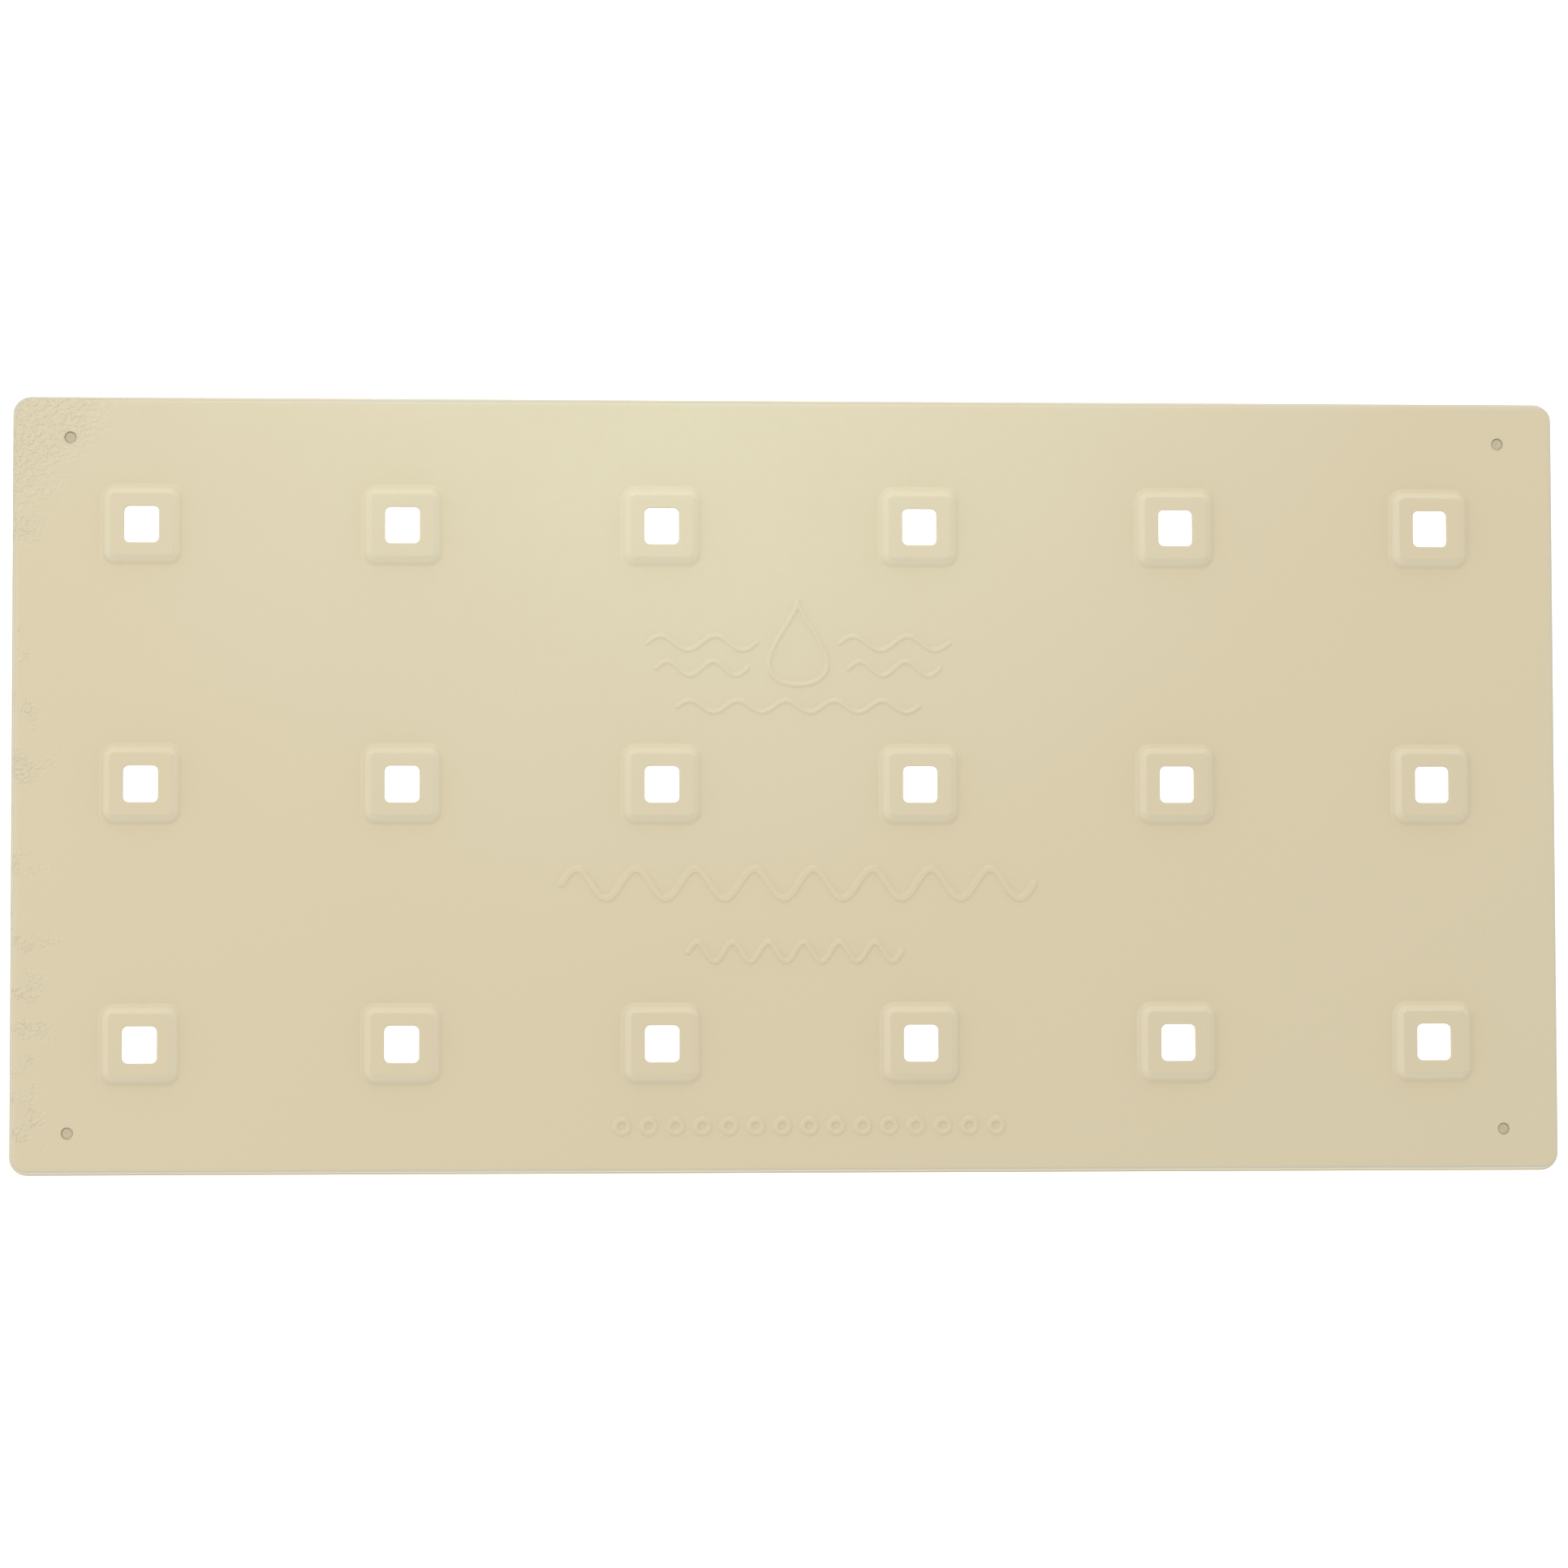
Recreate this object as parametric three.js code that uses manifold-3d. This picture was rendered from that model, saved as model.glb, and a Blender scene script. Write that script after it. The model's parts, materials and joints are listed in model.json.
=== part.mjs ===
// Floating raft board for plant plugs: a hollow twin-sheet plastic board with a grid of square plug sites.
// Two thermoformed sheets are welded at the rim and round every site hole, and four blow ports are plugged.
// Millimetres, +Z up. X runs along the board, Y across it, and the origin is the middle of the underside.

import * as THREE from "three";
import { mergeVertices } from "three/addons/utils/BufferGeometryUtils.js";
import Module from "manifold-3d";

// Board
const LENGTH = 1219.2; // 4 ft
const WIDTH = 609.6; // 2 ft
const CORNER_RADIUS = 14;
const DECK_HEIGHT = 30; // top of the deck above the underside
const SHEET = 2.2; // wall of each formed sheet
const CLEARANCE = 0.3; // left between welded faces, and round the plugs

// Rim, where the two sheets are welded and trimmed
const SEAM_HEIGHT = 17; // middle of the weld
const RIM_LIP = 1.2; // how far the trimmed weld stands out of the walls
const UPPER_DRAFT = 1; // lean of the upper wall over its height
const LOWER_DRAFT = 2; // lean of the lower wall over its height
const DECK_ROUNDING = 3; // rounding from the deck to the upper wall
const KEEL_ROUNDING = 4; // rounding from the lower wall to the underside

// Plug sites
const COLUMNS = 6;
const ROWS = 3;
const PITCH = 203.2; // 8 in, with half a pitch to every edge
const HOLE_LENGTH = 27.2; // along the board
const HOLE_WIDTH = 28.8; // across it
const HOLE_RADIUS = 4.5;
const COLLAR_RISE = 8; // ledge above the deck
const COLLAR_BASE = 63;
const COLLAR_LEDGE = 49;
const COLLAR_RADIUS = 11;
const COLLAR_SHOULDER = 1.4; // chamfer between the ledge and the sloping wall
const COLLAR_WALL = 1.1; // inset that gives the sloping wall the thickness of the sheet
const WELL_MOUTH = 70; // well round each hole, at the underside
const WELL_LAND = 42; // its top, welded under the collar's ledge
const WELL_RADIUS = 17;
const WELL_WALL = 1.5; // inset that gives the well's wall the thickness of the sheet

// Stiffening beads pressed into the underside, between the sites
const BEAD_WIDTH = 16;
const BEAD_DEPTH = 4;
const BEAD_SLOPE = 3; // lean of a bead's sides over its depth
const BEAD_WALL = 1.6; // outset that gives a bead's sides the thickness of the sheet
const BEAD_MARGIN = 40; // from the ends of the beads to the edges of the board
const BEAD_SPACE = 20; // from a short bead's ends to the middle of the long bead beside it

// Blow ports and their push-in plugs
const PORT_FROM_END = 45.5;
const PORT_FROM_SIDE = 33;
const PORT_RADIUS = 4.5; // cup in the deck
const PORT_DEPTH = 3.2;
const NEEDLE_RADIUS = 2.5; // hole in the floor of the cup
const PLUG_HEAD = 1.2; // thickness of the head
const PLUG_BARB = 0.7; // how far the barb stands out of the shank
const PLUG_TAIL = 3; // length of the barb, below the cup

const CORNER_STEPS = 3; // straight pieces in each rounded corner
const ROUNDING_STEPS = 2; // straight pieces in a rounding's quarter circle
const ROUND_STEPS = 12; // straight pieces in a full circle
const OVERCUT = 1; // how far a cutter runs past the face that it opens

const wasm = await Module();
wasm.setup();

// Solids: from a three.js geometry to a closed solid, and back.

function solidOf(geometry) {
  geometry.deleteAttribute("normal");
  geometry.deleteAttribute("uv");
  const merged = mergeVertices(geometry, 1e-4);
  const corners = merged.index.array;
  const triangles = [];
  for (let i = 0; i < corners.length; i += 3) {
    const [a, b, c] = corners.slice(i, i + 3);
    if (a !== b && b !== c && c !== a) triangles.push(a, b, c);
  }
  return new wasm.Manifold(new wasm.Mesh({
    numProp: 3,
    vertProperties: new Float32Array(merged.getAttribute("position").array),
    triVerts: new Uint32Array(triangles),
  }));
}

function geometryOf(solid) {
  const mesh = solid.getMesh();
  const geometry = new THREE.BufferGeometry();
  geometry.setAttribute("position", new THREE.BufferAttribute(mesh.vertProperties, 3));
  geometry.setIndex(new THREE.BufferAttribute(mesh.triVerts, 1));
  const faceted = geometry.toNonIndexed();
  faceted.computeVertexNormals();
  return faceted;
}

function joined(solids) {
  return solids.reduce((whole, solid) => whole.add(solid));
}

function roundedRectangle(length, width, radius) {
  const x = length / 2;
  const y = width / 2;
  const outline = new THREE.Shape();
  outline.absarc(x - radius, y - radius, radius, 0, Math.PI / 2);
  outline.absarc(radius - x, y - radius, radius, Math.PI / 2, Math.PI);
  outline.absarc(radius - x, radius - y, radius, Math.PI, 1.5 * Math.PI);
  outline.absarc(x - radius, radius - y, radius, 1.5 * Math.PI, 2 * Math.PI);
  return outline;
}

// A block with rounded corners whose walls follow a profile of [height, inset] pairs, from bottom to top.
// The centres of its corners stay put, so every level is offset evenly from the outline.
function formedBlock(length, width, radius, profile) {
  const levels = profile.length - 1;
  const geometry = new THREE.ExtrudeGeometry(roundedRectangle(length, width, radius), {
    depth: levels,
    steps: levels,
    bevelEnabled: false,
    curveSegments: CORNER_STEPS / 2, // an arc gets two steps for each
  });
  const centreX = length / 2 - radius;
  const centreY = width / 2 - radius;
  const position = geometry.getAttribute("position");
  for (let i = 0; i < position.count; i += 1) {
    const [height, inset] = profile[Math.round(position.getZ(i))];
    const x = position.getX(i);
    const y = position.getY(i);
    const outward = new THREE.Vector2(
      x - THREE.MathUtils.clamp(x, -centreX, centreX),
      y - THREE.MathUtils.clamp(y, -centreY, centreY),
    ).normalize();
    position.setXYZ(i, x - outward.x * inset, y - outward.y * inset, height);
  }
  return solidOf(geometry);
}

// The same profile, moved down and in by the sheet's thickness: the inner face of a formed wall.
function innerProfile(profile, wall) {
  return profile.map(([height, inset]) => [height - SHEET, inset + wall]);
}

// A turned piece on the Z axis, from [radius, height] pairs that start and end on the axis, bottom first.
function turned(profile) {
  const points = profile.map(([radius, height]) => new THREE.Vector2(radius, height));
  const geometry = new THREE.LatheGeometry(points, ROUND_STEPS);
  geometry.rotateX(Math.PI / 2);
  return solidOf(geometry);
}

function turnedPin(radius, bottom, top) {
  return turned([[0, bottom], [radius, bottom], [radius, top], [0, top]]);
}

// A quarter round as [height, inset] pairs, from the wall to the flat face above it (1) or below it (-1).
function quarterRound(faceHeight, direction, radius, startInset) {
  return Array.from({ length: ROUNDING_STEPS + 1 }, (_, step) => {
    const angle = (step / ROUNDING_STEPS) * (Math.PI / 2);
    return [
      faceHeight - direction * radius * (1 - Math.sin(angle)),
      startInset + radius * (1 - Math.cos(angle)),
    ];
  });
}

// Places

const siteCentres = [];
for (let row = 0; row < ROWS; row += 1) {
  for (let column = 0; column < COLUMNS; column += 1) {
    siteCentres.push([(column - (COLUMNS - 1) / 2) * PITCH, (row - (ROWS - 1) / 2) * PITCH]);
  }
}

const portCentres = {
  front_left: [PORT_FROM_END - LENGTH / 2, PORT_FROM_SIDE - WIDTH / 2],
  front_right: [LENGTH / 2 - PORT_FROM_END, PORT_FROM_SIDE - WIDTH / 2],
  back_left: [PORT_FROM_END - LENGTH / 2, WIDTH / 2 - PORT_FROM_SIDE],
  back_right: [LENGTH / 2 - PORT_FROM_END, WIDTH / 2 - PORT_FROM_SIDE],
};

function atEach(centres, solid) {
  return joined(centres.map(([x, y]) => solid.translate([x, y, 0])));
}

function boardBlock(profile) {
  return formedBlock(LENGTH, WIDTH, CORNER_RADIUS, profile);
}

// Upper skin: a shallow dome with a collar at each site, open underneath.

const seamTop = SEAM_HEIGHT + CLEARANCE / 2;
const ledgeHeight = DECK_HEIGHT + COLLAR_RISE;
const collarLean = (COLLAR_BASE - COLLAR_LEDGE) / 2;
const cupFloor = DECK_HEIGHT - PORT_DEPTH;

function siteHoles() {
  const hole = formedBlock(HOLE_LENGTH, HOLE_WIDTH, HOLE_RADIUS, [[-OVERCUT, 0], [ledgeHeight + OVERCUT, 0]]);
  return atEach(siteCentres, hole);
}

function upperSkin() {
  const wall = [
    [seamTop, RIM_LIP],
    ...quarterRound(DECK_HEIGHT, 1, DECK_ROUNDING, RIM_LIP + UPPER_DRAFT),
  ];
  const innerWall = innerProfile(wall, SHEET);
  const collar = [
    [DECK_HEIGHT, 0],
    [ledgeHeight - COLLAR_SHOULDER, collarLean - COLLAR_SHOULDER / 2],
    [ledgeHeight, collarLean + COLLAR_SHOULDER / 2],
  ];
  const flange = boardBlock([[seamTop, 0], [seamTop + SHEET, 0]]);
  const dome = boardBlock(wall);
  const hollow = boardBlock(innerWall);
  const raised = formedBlock(COLLAR_BASE, COLLAR_BASE, COLLAR_RADIUS, [[DECK_HEIGHT - SHEET, 0], ...collar]);
  const raisedHollow = formedBlock(COLLAR_BASE, COLLAR_BASE, COLLAR_RADIUS, [
    [DECK_HEIGHT - SHEET - OVERCUT, COLLAR_WALL],
    ...innerProfile(collar, COLLAR_WALL),
  ]);
  const cup = turnedPin(PORT_RADIUS + SHEET, cupFloor - SHEET, DECK_HEIGHT - SHEET / 2);
  const cupHollow = turned([
    [0, cupFloor - SHEET - OVERCUT],
    [NEEDLE_RADIUS, cupFloor - SHEET - OVERCUT],
    [NEEDLE_RADIUS, cupFloor],
    [PORT_RADIUS, cupFloor],
    [PORT_RADIUS, DECK_HEIGHT + OVERCUT],
    [0, DECK_HEIGHT + OVERCUT],
  ]);
  return joined([flange, dome])
    .subtract(hollow)
    .add(atEach(siteCentres, raised))
    .subtract(atEach(siteCentres, raisedHollow))
    .subtract(siteHoles())
    .add(atEach(Object.values(portCentres), cup))
    .subtract(atEach(Object.values(portCentres), cupHollow));
}

// Lower skin: a tub with a tapering well that rises to the collar at each site, open on top.

const seamBottom = SEAM_HEIGHT - CLEARANCE / 2;
const landHeight = ledgeHeight - SHEET - CLEARANCE;

// Long beads between the rows, and short ones between the columns, each with the given profile.
function beads(profile) {
  const along = (length, x, y) =>
    formedBlock(length, BEAD_WIDTH, BEAD_WIDTH / 2, profile).translate([x, y, 0]);
  const across = (length, x, y) =>
    formedBlock(BEAD_WIDTH, length, BEAD_WIDTH / 2, profile).translate([x, y, 0]);
  const blocks = [];
  for (let gap = 1; gap < ROWS; gap += 1) {
    blocks.push(along(LENGTH - 2 * BEAD_MARGIN, 0, (gap - ROWS / 2) * PITCH));
  }
  for (let gap = 1; gap < COLUMNS; gap += 1) {
    for (let row = 0; row < ROWS; row += 1) {
      const low = row === 0 ? BEAD_MARGIN - WIDTH / 2 : (row - ROWS / 2) * PITCH + BEAD_SPACE;
      const high = row === ROWS - 1 ? WIDTH / 2 - BEAD_MARGIN : (row + 1 - ROWS / 2) * PITCH - BEAD_SPACE;
      blocks.push(across(high - low, (gap - COLUMNS / 2) * PITCH, (low + high) / 2));
    }
  }
  return joined(blocks);
}

function lowerSkin() {
  const wall = [
    ...quarterRound(0, -1, KEEL_ROUNDING, RIM_LIP + LOWER_DRAFT).reverse(),
    [seamBottom, RIM_LIP],
  ];
  const innerWall = wall.map(([height, inset], level) => [
    level === wall.length - 1 ? seamBottom + OVERCUT : height + SHEET,
    inset + SHEET,
  ]);
  const wellLean = (WELL_MOUTH - WELL_LAND) / 2;
  const well = [[0, 0], [landHeight, wellLean]];
  const groove = [[-OVERCUT, (-OVERCUT * BEAD_SLOPE) / BEAD_DEPTH], [BEAD_DEPTH, BEAD_SLOPE]];
  const ridge = [[SHEET / 2, -BEAD_WALL], [BEAD_DEPTH + SHEET, BEAD_SLOPE - BEAD_WALL]];
  const flange = boardBlock([[seamBottom - SHEET, 0], [seamBottom, 0]]);
  const tub = boardBlock(wall);
  const hollow = boardBlock(innerWall);
  const wells = atEach(siteCentres, formedBlock(WELL_MOUTH, WELL_MOUTH, WELL_RADIUS, well));
  const wellHollows = atEach(
    siteCentres,
    formedBlock(WELL_MOUTH, WELL_MOUTH, WELL_RADIUS, innerProfile(well, WELL_WALL)),
  );
  return joined([flange, tub])
    .subtract(hollow)
    .add(wells)
    .add(beads(ridge))
    .subtract(beads(groove))
    .subtract(wellHollows)
    .subtract(siteHoles());
}

// Push-in plug: a flat head in the cup, a shank through the needle hole and a barb below it.

function portPlug() {
  const headBottom = cupFloor + CLEARANCE;
  const headTop = headBottom + PLUG_HEAD;
  const headRadius = PORT_RADIUS - CLEARANCE;
  const shankRadius = NEEDLE_RADIUS - CLEARANCE;
  const barbTop = cupFloor - SHEET - CLEARANCE;
  const barbBottom = barbTop - PLUG_TAIL;
  return turned([
    [0, barbBottom],
    [shankRadius - PLUG_BARB, barbBottom],
    [shankRadius + PLUG_BARB, barbTop],
    [shankRadius, barbTop],
    [shankRadius, headBottom],
    [headRadius, headBottom],
    [headRadius, headTop],
    [0, headTop],
  ]);
}

// Assembly

const board = new THREE.Group();

function place(name, solid, color, roughness) {
  const material = new THREE.MeshStandardMaterial({ color, roughness, metalness: 0 });
  const mesh = new THREE.Mesh(geometryOf(solid), material);
  mesh.name = name;
  board.add(mesh);
  return mesh;
}

place("upper_skin", upperSkin(), 0xdcd0b0, 0.45);
place("lower_skin", lowerSkin(), 0xd8cbaa, 0.5);
for (const [corner, [x, y]] of Object.entries(portCentres)) {
  place(`port_plug_${corner}`, portPlug(), 0xc9bd9c, 0.55).position.set(x, y, 0);
}

export default board;
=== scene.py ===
"""A hollow raft board for plant plugs: two formed plastic skins, welded together, and four port plugs.

The board lies flat with its deck up. Lengths are in metres, X runs along the board and Y across it.
"""

import json
import math

import bmesh
import bpy
from bpy.props import FloatProperty, FloatVectorProperty, IntProperty, PointerProperty
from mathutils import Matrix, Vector, kdtree


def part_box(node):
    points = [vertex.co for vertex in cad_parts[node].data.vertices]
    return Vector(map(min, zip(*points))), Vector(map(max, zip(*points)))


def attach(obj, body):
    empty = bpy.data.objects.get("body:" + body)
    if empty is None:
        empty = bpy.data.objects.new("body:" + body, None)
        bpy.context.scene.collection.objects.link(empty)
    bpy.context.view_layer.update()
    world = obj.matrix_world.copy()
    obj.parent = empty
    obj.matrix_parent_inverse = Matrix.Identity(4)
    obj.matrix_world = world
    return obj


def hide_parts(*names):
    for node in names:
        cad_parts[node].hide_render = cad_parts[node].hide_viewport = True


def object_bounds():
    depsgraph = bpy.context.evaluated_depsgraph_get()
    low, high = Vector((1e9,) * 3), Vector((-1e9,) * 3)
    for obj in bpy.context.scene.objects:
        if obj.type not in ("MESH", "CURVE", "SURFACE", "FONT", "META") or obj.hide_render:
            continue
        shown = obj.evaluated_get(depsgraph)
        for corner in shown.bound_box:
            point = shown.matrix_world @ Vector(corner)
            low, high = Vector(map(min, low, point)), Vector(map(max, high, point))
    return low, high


bl_info = {
    "name": "Raft board",
    "version": (1, 0, 0),
    "blender": (4, 5, 0),
    "location": "3D Viewport > Sidebar > Raft board",
    "description": "Builds the formed skins, the port plugs and the studio of a raft board for plant plugs",
    "category": "Add Mesh",
}

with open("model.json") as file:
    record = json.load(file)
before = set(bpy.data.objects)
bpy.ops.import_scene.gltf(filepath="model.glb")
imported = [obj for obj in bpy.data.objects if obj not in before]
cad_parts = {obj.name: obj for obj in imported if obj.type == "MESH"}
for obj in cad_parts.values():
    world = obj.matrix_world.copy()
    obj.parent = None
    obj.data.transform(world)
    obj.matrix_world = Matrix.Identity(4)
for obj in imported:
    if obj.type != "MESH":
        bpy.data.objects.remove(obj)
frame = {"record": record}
CAD_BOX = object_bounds()
BODY = "root"
PORTS = ("front_left", "front_right", "back_left", "back_right")

ARC_STEPS = 4  # steps from the middle of a rounded corner to either end
FILLET_STEPS = 5  # steps in each rounding of a wall
OUTLINE_STEPS = 8  # steps in each corner of the board
PLUG_STEPS = 40  # steps round a plug
WELD = 1e-5  # points nearer than this are one
SKIN_SMOOTH = math.radians(50)  # edges of a skin sharper than this stay sharp
PLUG_SMOOTH = math.radians(40)
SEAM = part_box("upper_skin")[0].z  # parting line between the two sheets
LENGTH, WIDTH = (CAD_BOX[1] - CAD_BOX[0]).xy


def mount_height(name):
    """Height of a flat face that the record states."""
    return next(m["pos_m"][2] for m in frame["record"]["mounts"] if m["name"] == name)


def site_centres():
    """Middle of each plug hole, from the openings that the record states."""
    boxes = [opening["box_m"] for opening in frame["record"]["physics"]["openings"]]
    return [(Vector(low) + Vector(high)).xy / 2 for low, high in boxes]


def port_centre(port):
    low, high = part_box(f"port_plug_{port}")
    return ((low + high) / 2).xy


DECK = mount_height("deck")
LEDGE = mount_height("site_a1")
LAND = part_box("lower_skin")[1].z  # top of a well, where the two sheets are welded
PITCH = site_centres()[1].x - site_centres()[0].x


def length_property(name, description, default):
    return FloatProperty(
        name=name, description=description, default=default, min=0, unit="LENGTH", precision=5
    )


def angle_property(name, description, degrees):
    return FloatProperty(name=name, description=description, default=math.radians(degrees), unit="ROTATION")


def strength_property(name, description, default):
    return FloatProperty(name=name, description=description, default=default, min=0)


def share_property(name, description, default):
    return FloatProperty(name=name, description=description, default=default, min=0, max=1)


def colour_property(name, description, default):
    return FloatVectorProperty(
        name=name, description=description, default=default, size=4, subtype="COLOR", min=0, max=1
    )


class RaftSheetSizes(bpy.types.PropertyGroup):
    """Sizes of the two sheets and of the rim where they are welded"""

    sheet: length_property("Sheet", "Wall of each formed sheet", 0.0022)
    gap: length_property("Parting line", "Gap that shows between the two welded sheets", 0.0003)
    corner: length_property("Corner", "Corner radius of the board", 0.014)
    lip: length_property("Lip", "How far the trimmed weld stands out of the walls", 0.0012)
    upper_draft: length_property("Upper draft", "Lean of the upper wall", 0.001)
    lower_draft: length_property("Lower draft", "Lean of the lower wall", 0.002)
    deck_rounding: length_property("Deck rounding", "Radius from the deck to the upper wall", 0.003)
    keel_rounding: length_property("Keel rounding", "Radius from the lower wall to the underside", 0.004)
    plate_inset: length_property("Plate inset", "Flat part of each sheet starts this far in", 0.008)


class RaftSiteSizes(bpy.types.PropertyGroup):
    """Sizes of a plug site: the collar on the deck and the well under it"""

    hole_length: length_property("Hole length", "Side of the hole along the board", 0.0272)
    hole_width: length_property("Hole width", "Side of the hole across the board", 0.0288)
    hole_corner: length_property("Hole corner", "Corner radius of the hole", 0.0045)
    base: length_property("Collar base", "Side of the collar at the deck", 0.063)
    ledge: length_property("Collar ledge", "Side of the collar at its flat ledge", 0.049)
    corner: length_property("Collar corner", "Corner radius of the collar at the deck", 0.011)
    foot: length_property("Foot radius", "Rounding from the deck to the collar's wall", 0.0024)
    shoulder: length_property("Shoulder radius", "Rounding from the collar's wall to its ledge", 0.0014)
    trim: length_property("Trim radius", "Softened edge of the cut hole", 0.0005)
    cell: length_property("Cell", "Side of the flat square that each collar or well is pressed from", 0.076)
    mouth: length_property("Well mouth", "Side of the well at the underside", 0.070)
    land: length_property("Well land", "Side of the flat top of the well", 0.042)
    well_corner: length_property("Well corner", "Corner radius of the well at the underside", 0.017)
    mouth_rounding: length_property("Mouth radius", "Rounding from the underside into the well", 0.003)


class RaftBeadSizes(bpy.types.PropertyGroup):
    """Sizes of the stiffening beads in the underside"""

    width: length_property("Width", "Width of a bead at the underside", 0.016)
    depth: length_property("Depth", "Depth of a bead", 0.004)
    slope: length_property("Slope", "Lean of a bead's sides over its depth", 0.003)
    rounding: length_property("Rounding", "Rounding of a bead's edges", 0.0015)
    margin: length_property("Margin", "From the ends of the beads to the edges of the board", 0.040)
    space: length_property("Space", "From a short bead to the middle of the long one beside it", 0.020)
    cell_margin: length_property("Cell margin", "Flat border left round each bead", 0.004)


class RaftPortSizes(bpy.types.PropertyGroup):
    """Sizes of the blow ports and their plugs"""

    radius: length_property("Cup radius", "Radius of the cup in the deck", 0.0045)
    depth: length_property("Cup depth", "Depth of the cup", 0.0032)
    needle: length_property("Needle radius", "Radius of the hole in the cup's floor", 0.0025)
    burr: length_property("Burr", "Height of the burr round the cup", 0.00035)
    cell: length_property("Cell", "Side of the flat square that each cup is pressed from", 0.027)
    cell_shift: length_property("Cell shift", "How far that square sits inwards of the cup", 0.0035)
    head: length_property("Head", "Thickness of a plug's head", 0.0012)
    barb: length_property("Barb", "How far the barb stands out of the shank", 0.0007)
    tail: length_property("Tail", "Length of the barb under the cup", 0.003)


class RaftReliefSizes(bpy.types.PropertyGroup):
    """Sizes of the low raised drawing on the deck"""

    height: length_property("Height", "Height of a ridge", 0.0013)
    slope: length_property("Slope", "Width of a ridge's sloping side", 0.0012)
    drawn: length_property("Drawn line", "Half width of the drawing's lines, on top", 0.0009)
    broad: length_property("Broad line", "Half width of the broad band's line, on top", 0.0019)
    narrow: length_property("Narrow line", "Half width of the two small bands' lines, on top", 0.0013)
    spacing: length_property("Spacing", "Spacing of the points on a ridge", 0.0007)


class RaftFinish(bpy.types.PropertyGroup):
    """Colours and gloss of the plastic"""

    # Deck is the lit end of the painted light fade on the deck; its warm colour is the shaded end of that
    # fade, and also the deep tone of the random mottling.
    deck_colour: colour_property("Deck", "Paler, greener tone of the upper sheet", (0.785, 0.735, 0.515, 1))
    deck_shade_and_deep: colour_property("Deck, warm", "Warmer tone of the upper sheet", (0.722, 0.630, 0.428, 1))
    # The rim colour is painted shade: a greyer band on the rounded edge under the deck, where the edge turns
    # from the light.
    rim_shade_colour: colour_property("Handled rim", "Colour of the dulled rim", (0.600, 0.575, 0.450, 1))
    keel_colour: colour_property("Underside", "Paler tone of the lower sheet", (0.705, 0.640, 0.440, 1))
    keel_warm: colour_property("Underside, warm", "Warmer tone of the lower sheet", (0.655, 0.565, 0.378, 1))
    # The plug colour is darker than the sheet: painted shade from the cup that the plug sits in.
    plug_shaded_colour: colour_property("Plugs", "Colour of the port plugs", (0.640, 0.562, 0.388, 1))
    floor_colour: colour_property("Floor", "Colour of the studio floor", (0.300, 0.300, 0.298, 1))
    # This pale colour serves the stress whitening of the collar walls, which also carries painted sheen
    # there, and the painted glints on the pebble crowns.
    whitening_and_glint_colour: colour_property("Stress whitening", "Colour of stretched sheet", (0.86, 0.83, 0.69, 1))
    # This sets the paler collar walls: stress whitening of the stretched sheet, raised with painted sheen.
    stress_and_sheen: share_property("Stress", "Strength of the stress whitening", 0.25)
    deck_roughness: share_property("Deck roughness", "Roughness of the deck", 0.38)
    keel_roughness: share_property("Underside roughness", "Roughness of the underside", 0.5)


class RaftStudio(bpy.types.PropertyGroup):
    """Camera and lights"""

    camera_height: length_property("Camera height", "Height of the camera above the floor", 3.848)
    camera_left: length_property("Camera left", "How far the camera stands left of the middle", 0.236)
    camera_front: length_property("Camera front", "How far the camera stands in front of the middle", 0.194)
    camera_pitch: angle_property("Pitch", "Camera pitch", 2.92)
    camera_roll: angle_property("Roll", "Camera roll", -3.45)
    camera_spin: angle_property("Spin", "Camera spin", -0.13)
    lens: FloatProperty(name="Lens", description="Focal length in millimetres", default=111.8, min=1)
    sky: strength_property("Sky", "Strength of the even light from all round", 0.69)
    horizon: strength_property("Horizon", "Strength that the light gains low down", 0.70)
    horizon_fall: strength_property("Horizon fall", "How fast that gain fades upwards", 3.0)
    floor_glow: strength_property("Floor glow", "Light that the floor gives off", 1.0)
    back_power: strength_property("Back light", "Power in watts of the light behind the board", 21)
    left_power: strength_property("Left light", "Power in watts of the light on the left", 12.5)
    floor_radius: length_property("Floor radius", "Radius of the floor", 40.0)
    floor_steps: IntProperty(name="Floor steps", description="Sides of the floor", default=64, min=8)


# Shapes


def rounded_path(corners, radii):
    """An open path of (inset, height) points, with each inner corner rounded to its radius."""
    corners = [Vector(corner) for corner in corners]
    path = [corners[0]]
    for before, corner, after, radius in zip(corners, corners[1:], corners[2:], radii):
        to_before = (before - corner).normalized()
        to_after = (after - corner).normalized()
        half_angle = to_before.angle(to_after) / 2
        centre = corner + (to_before + to_after).normalized() * radius / math.sin(half_angle)
        spoke = corner + to_before * radius / math.tan(half_angle) - centre
        last_spoke = corner + to_after * radius / math.tan(half_angle) - centre
        sweep = math.pi - 2 * half_angle
        side_spoke = (last_spoke - spoke * math.cos(sweep)) / math.sin(sweep)
        for step in range(FILLET_STEPS + 1):
            turn = sweep * step / FILLET_STEPS
            path.append(centre + spoke * math.cos(turn) + side_spoke * math.sin(turn))
    path.append(corners[-1])
    return path


def offset_levels(half_x, half_y, radius, path):
    """Levels of a rounded rectangle whose wall follows a path of (inset, height) points."""
    return [(half_x - inset, half_y - inset, radius - inset, height) for inset, height in path]


def lies_within(face, low, high):
    """Whether the middle of a face lies in a rectangle."""
    middle = face.calc_center_bounds()
    return low.x < middle.x < high.x and low.y < middle.y < high.y


def face_holding(faces, point):
    """The flat face whose bounds hold a point."""
    for face in faces:
        xs = [vert.co.x for vert in face.verts]
        ys = [vert.co.y for vert in face.verts]
        if min(xs) < point.x < max(xs) and min(ys) < point.y < max(ys):
            return face
    raise RuntimeError(f"no face of the sheet holds the point {tuple(point)}")


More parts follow.
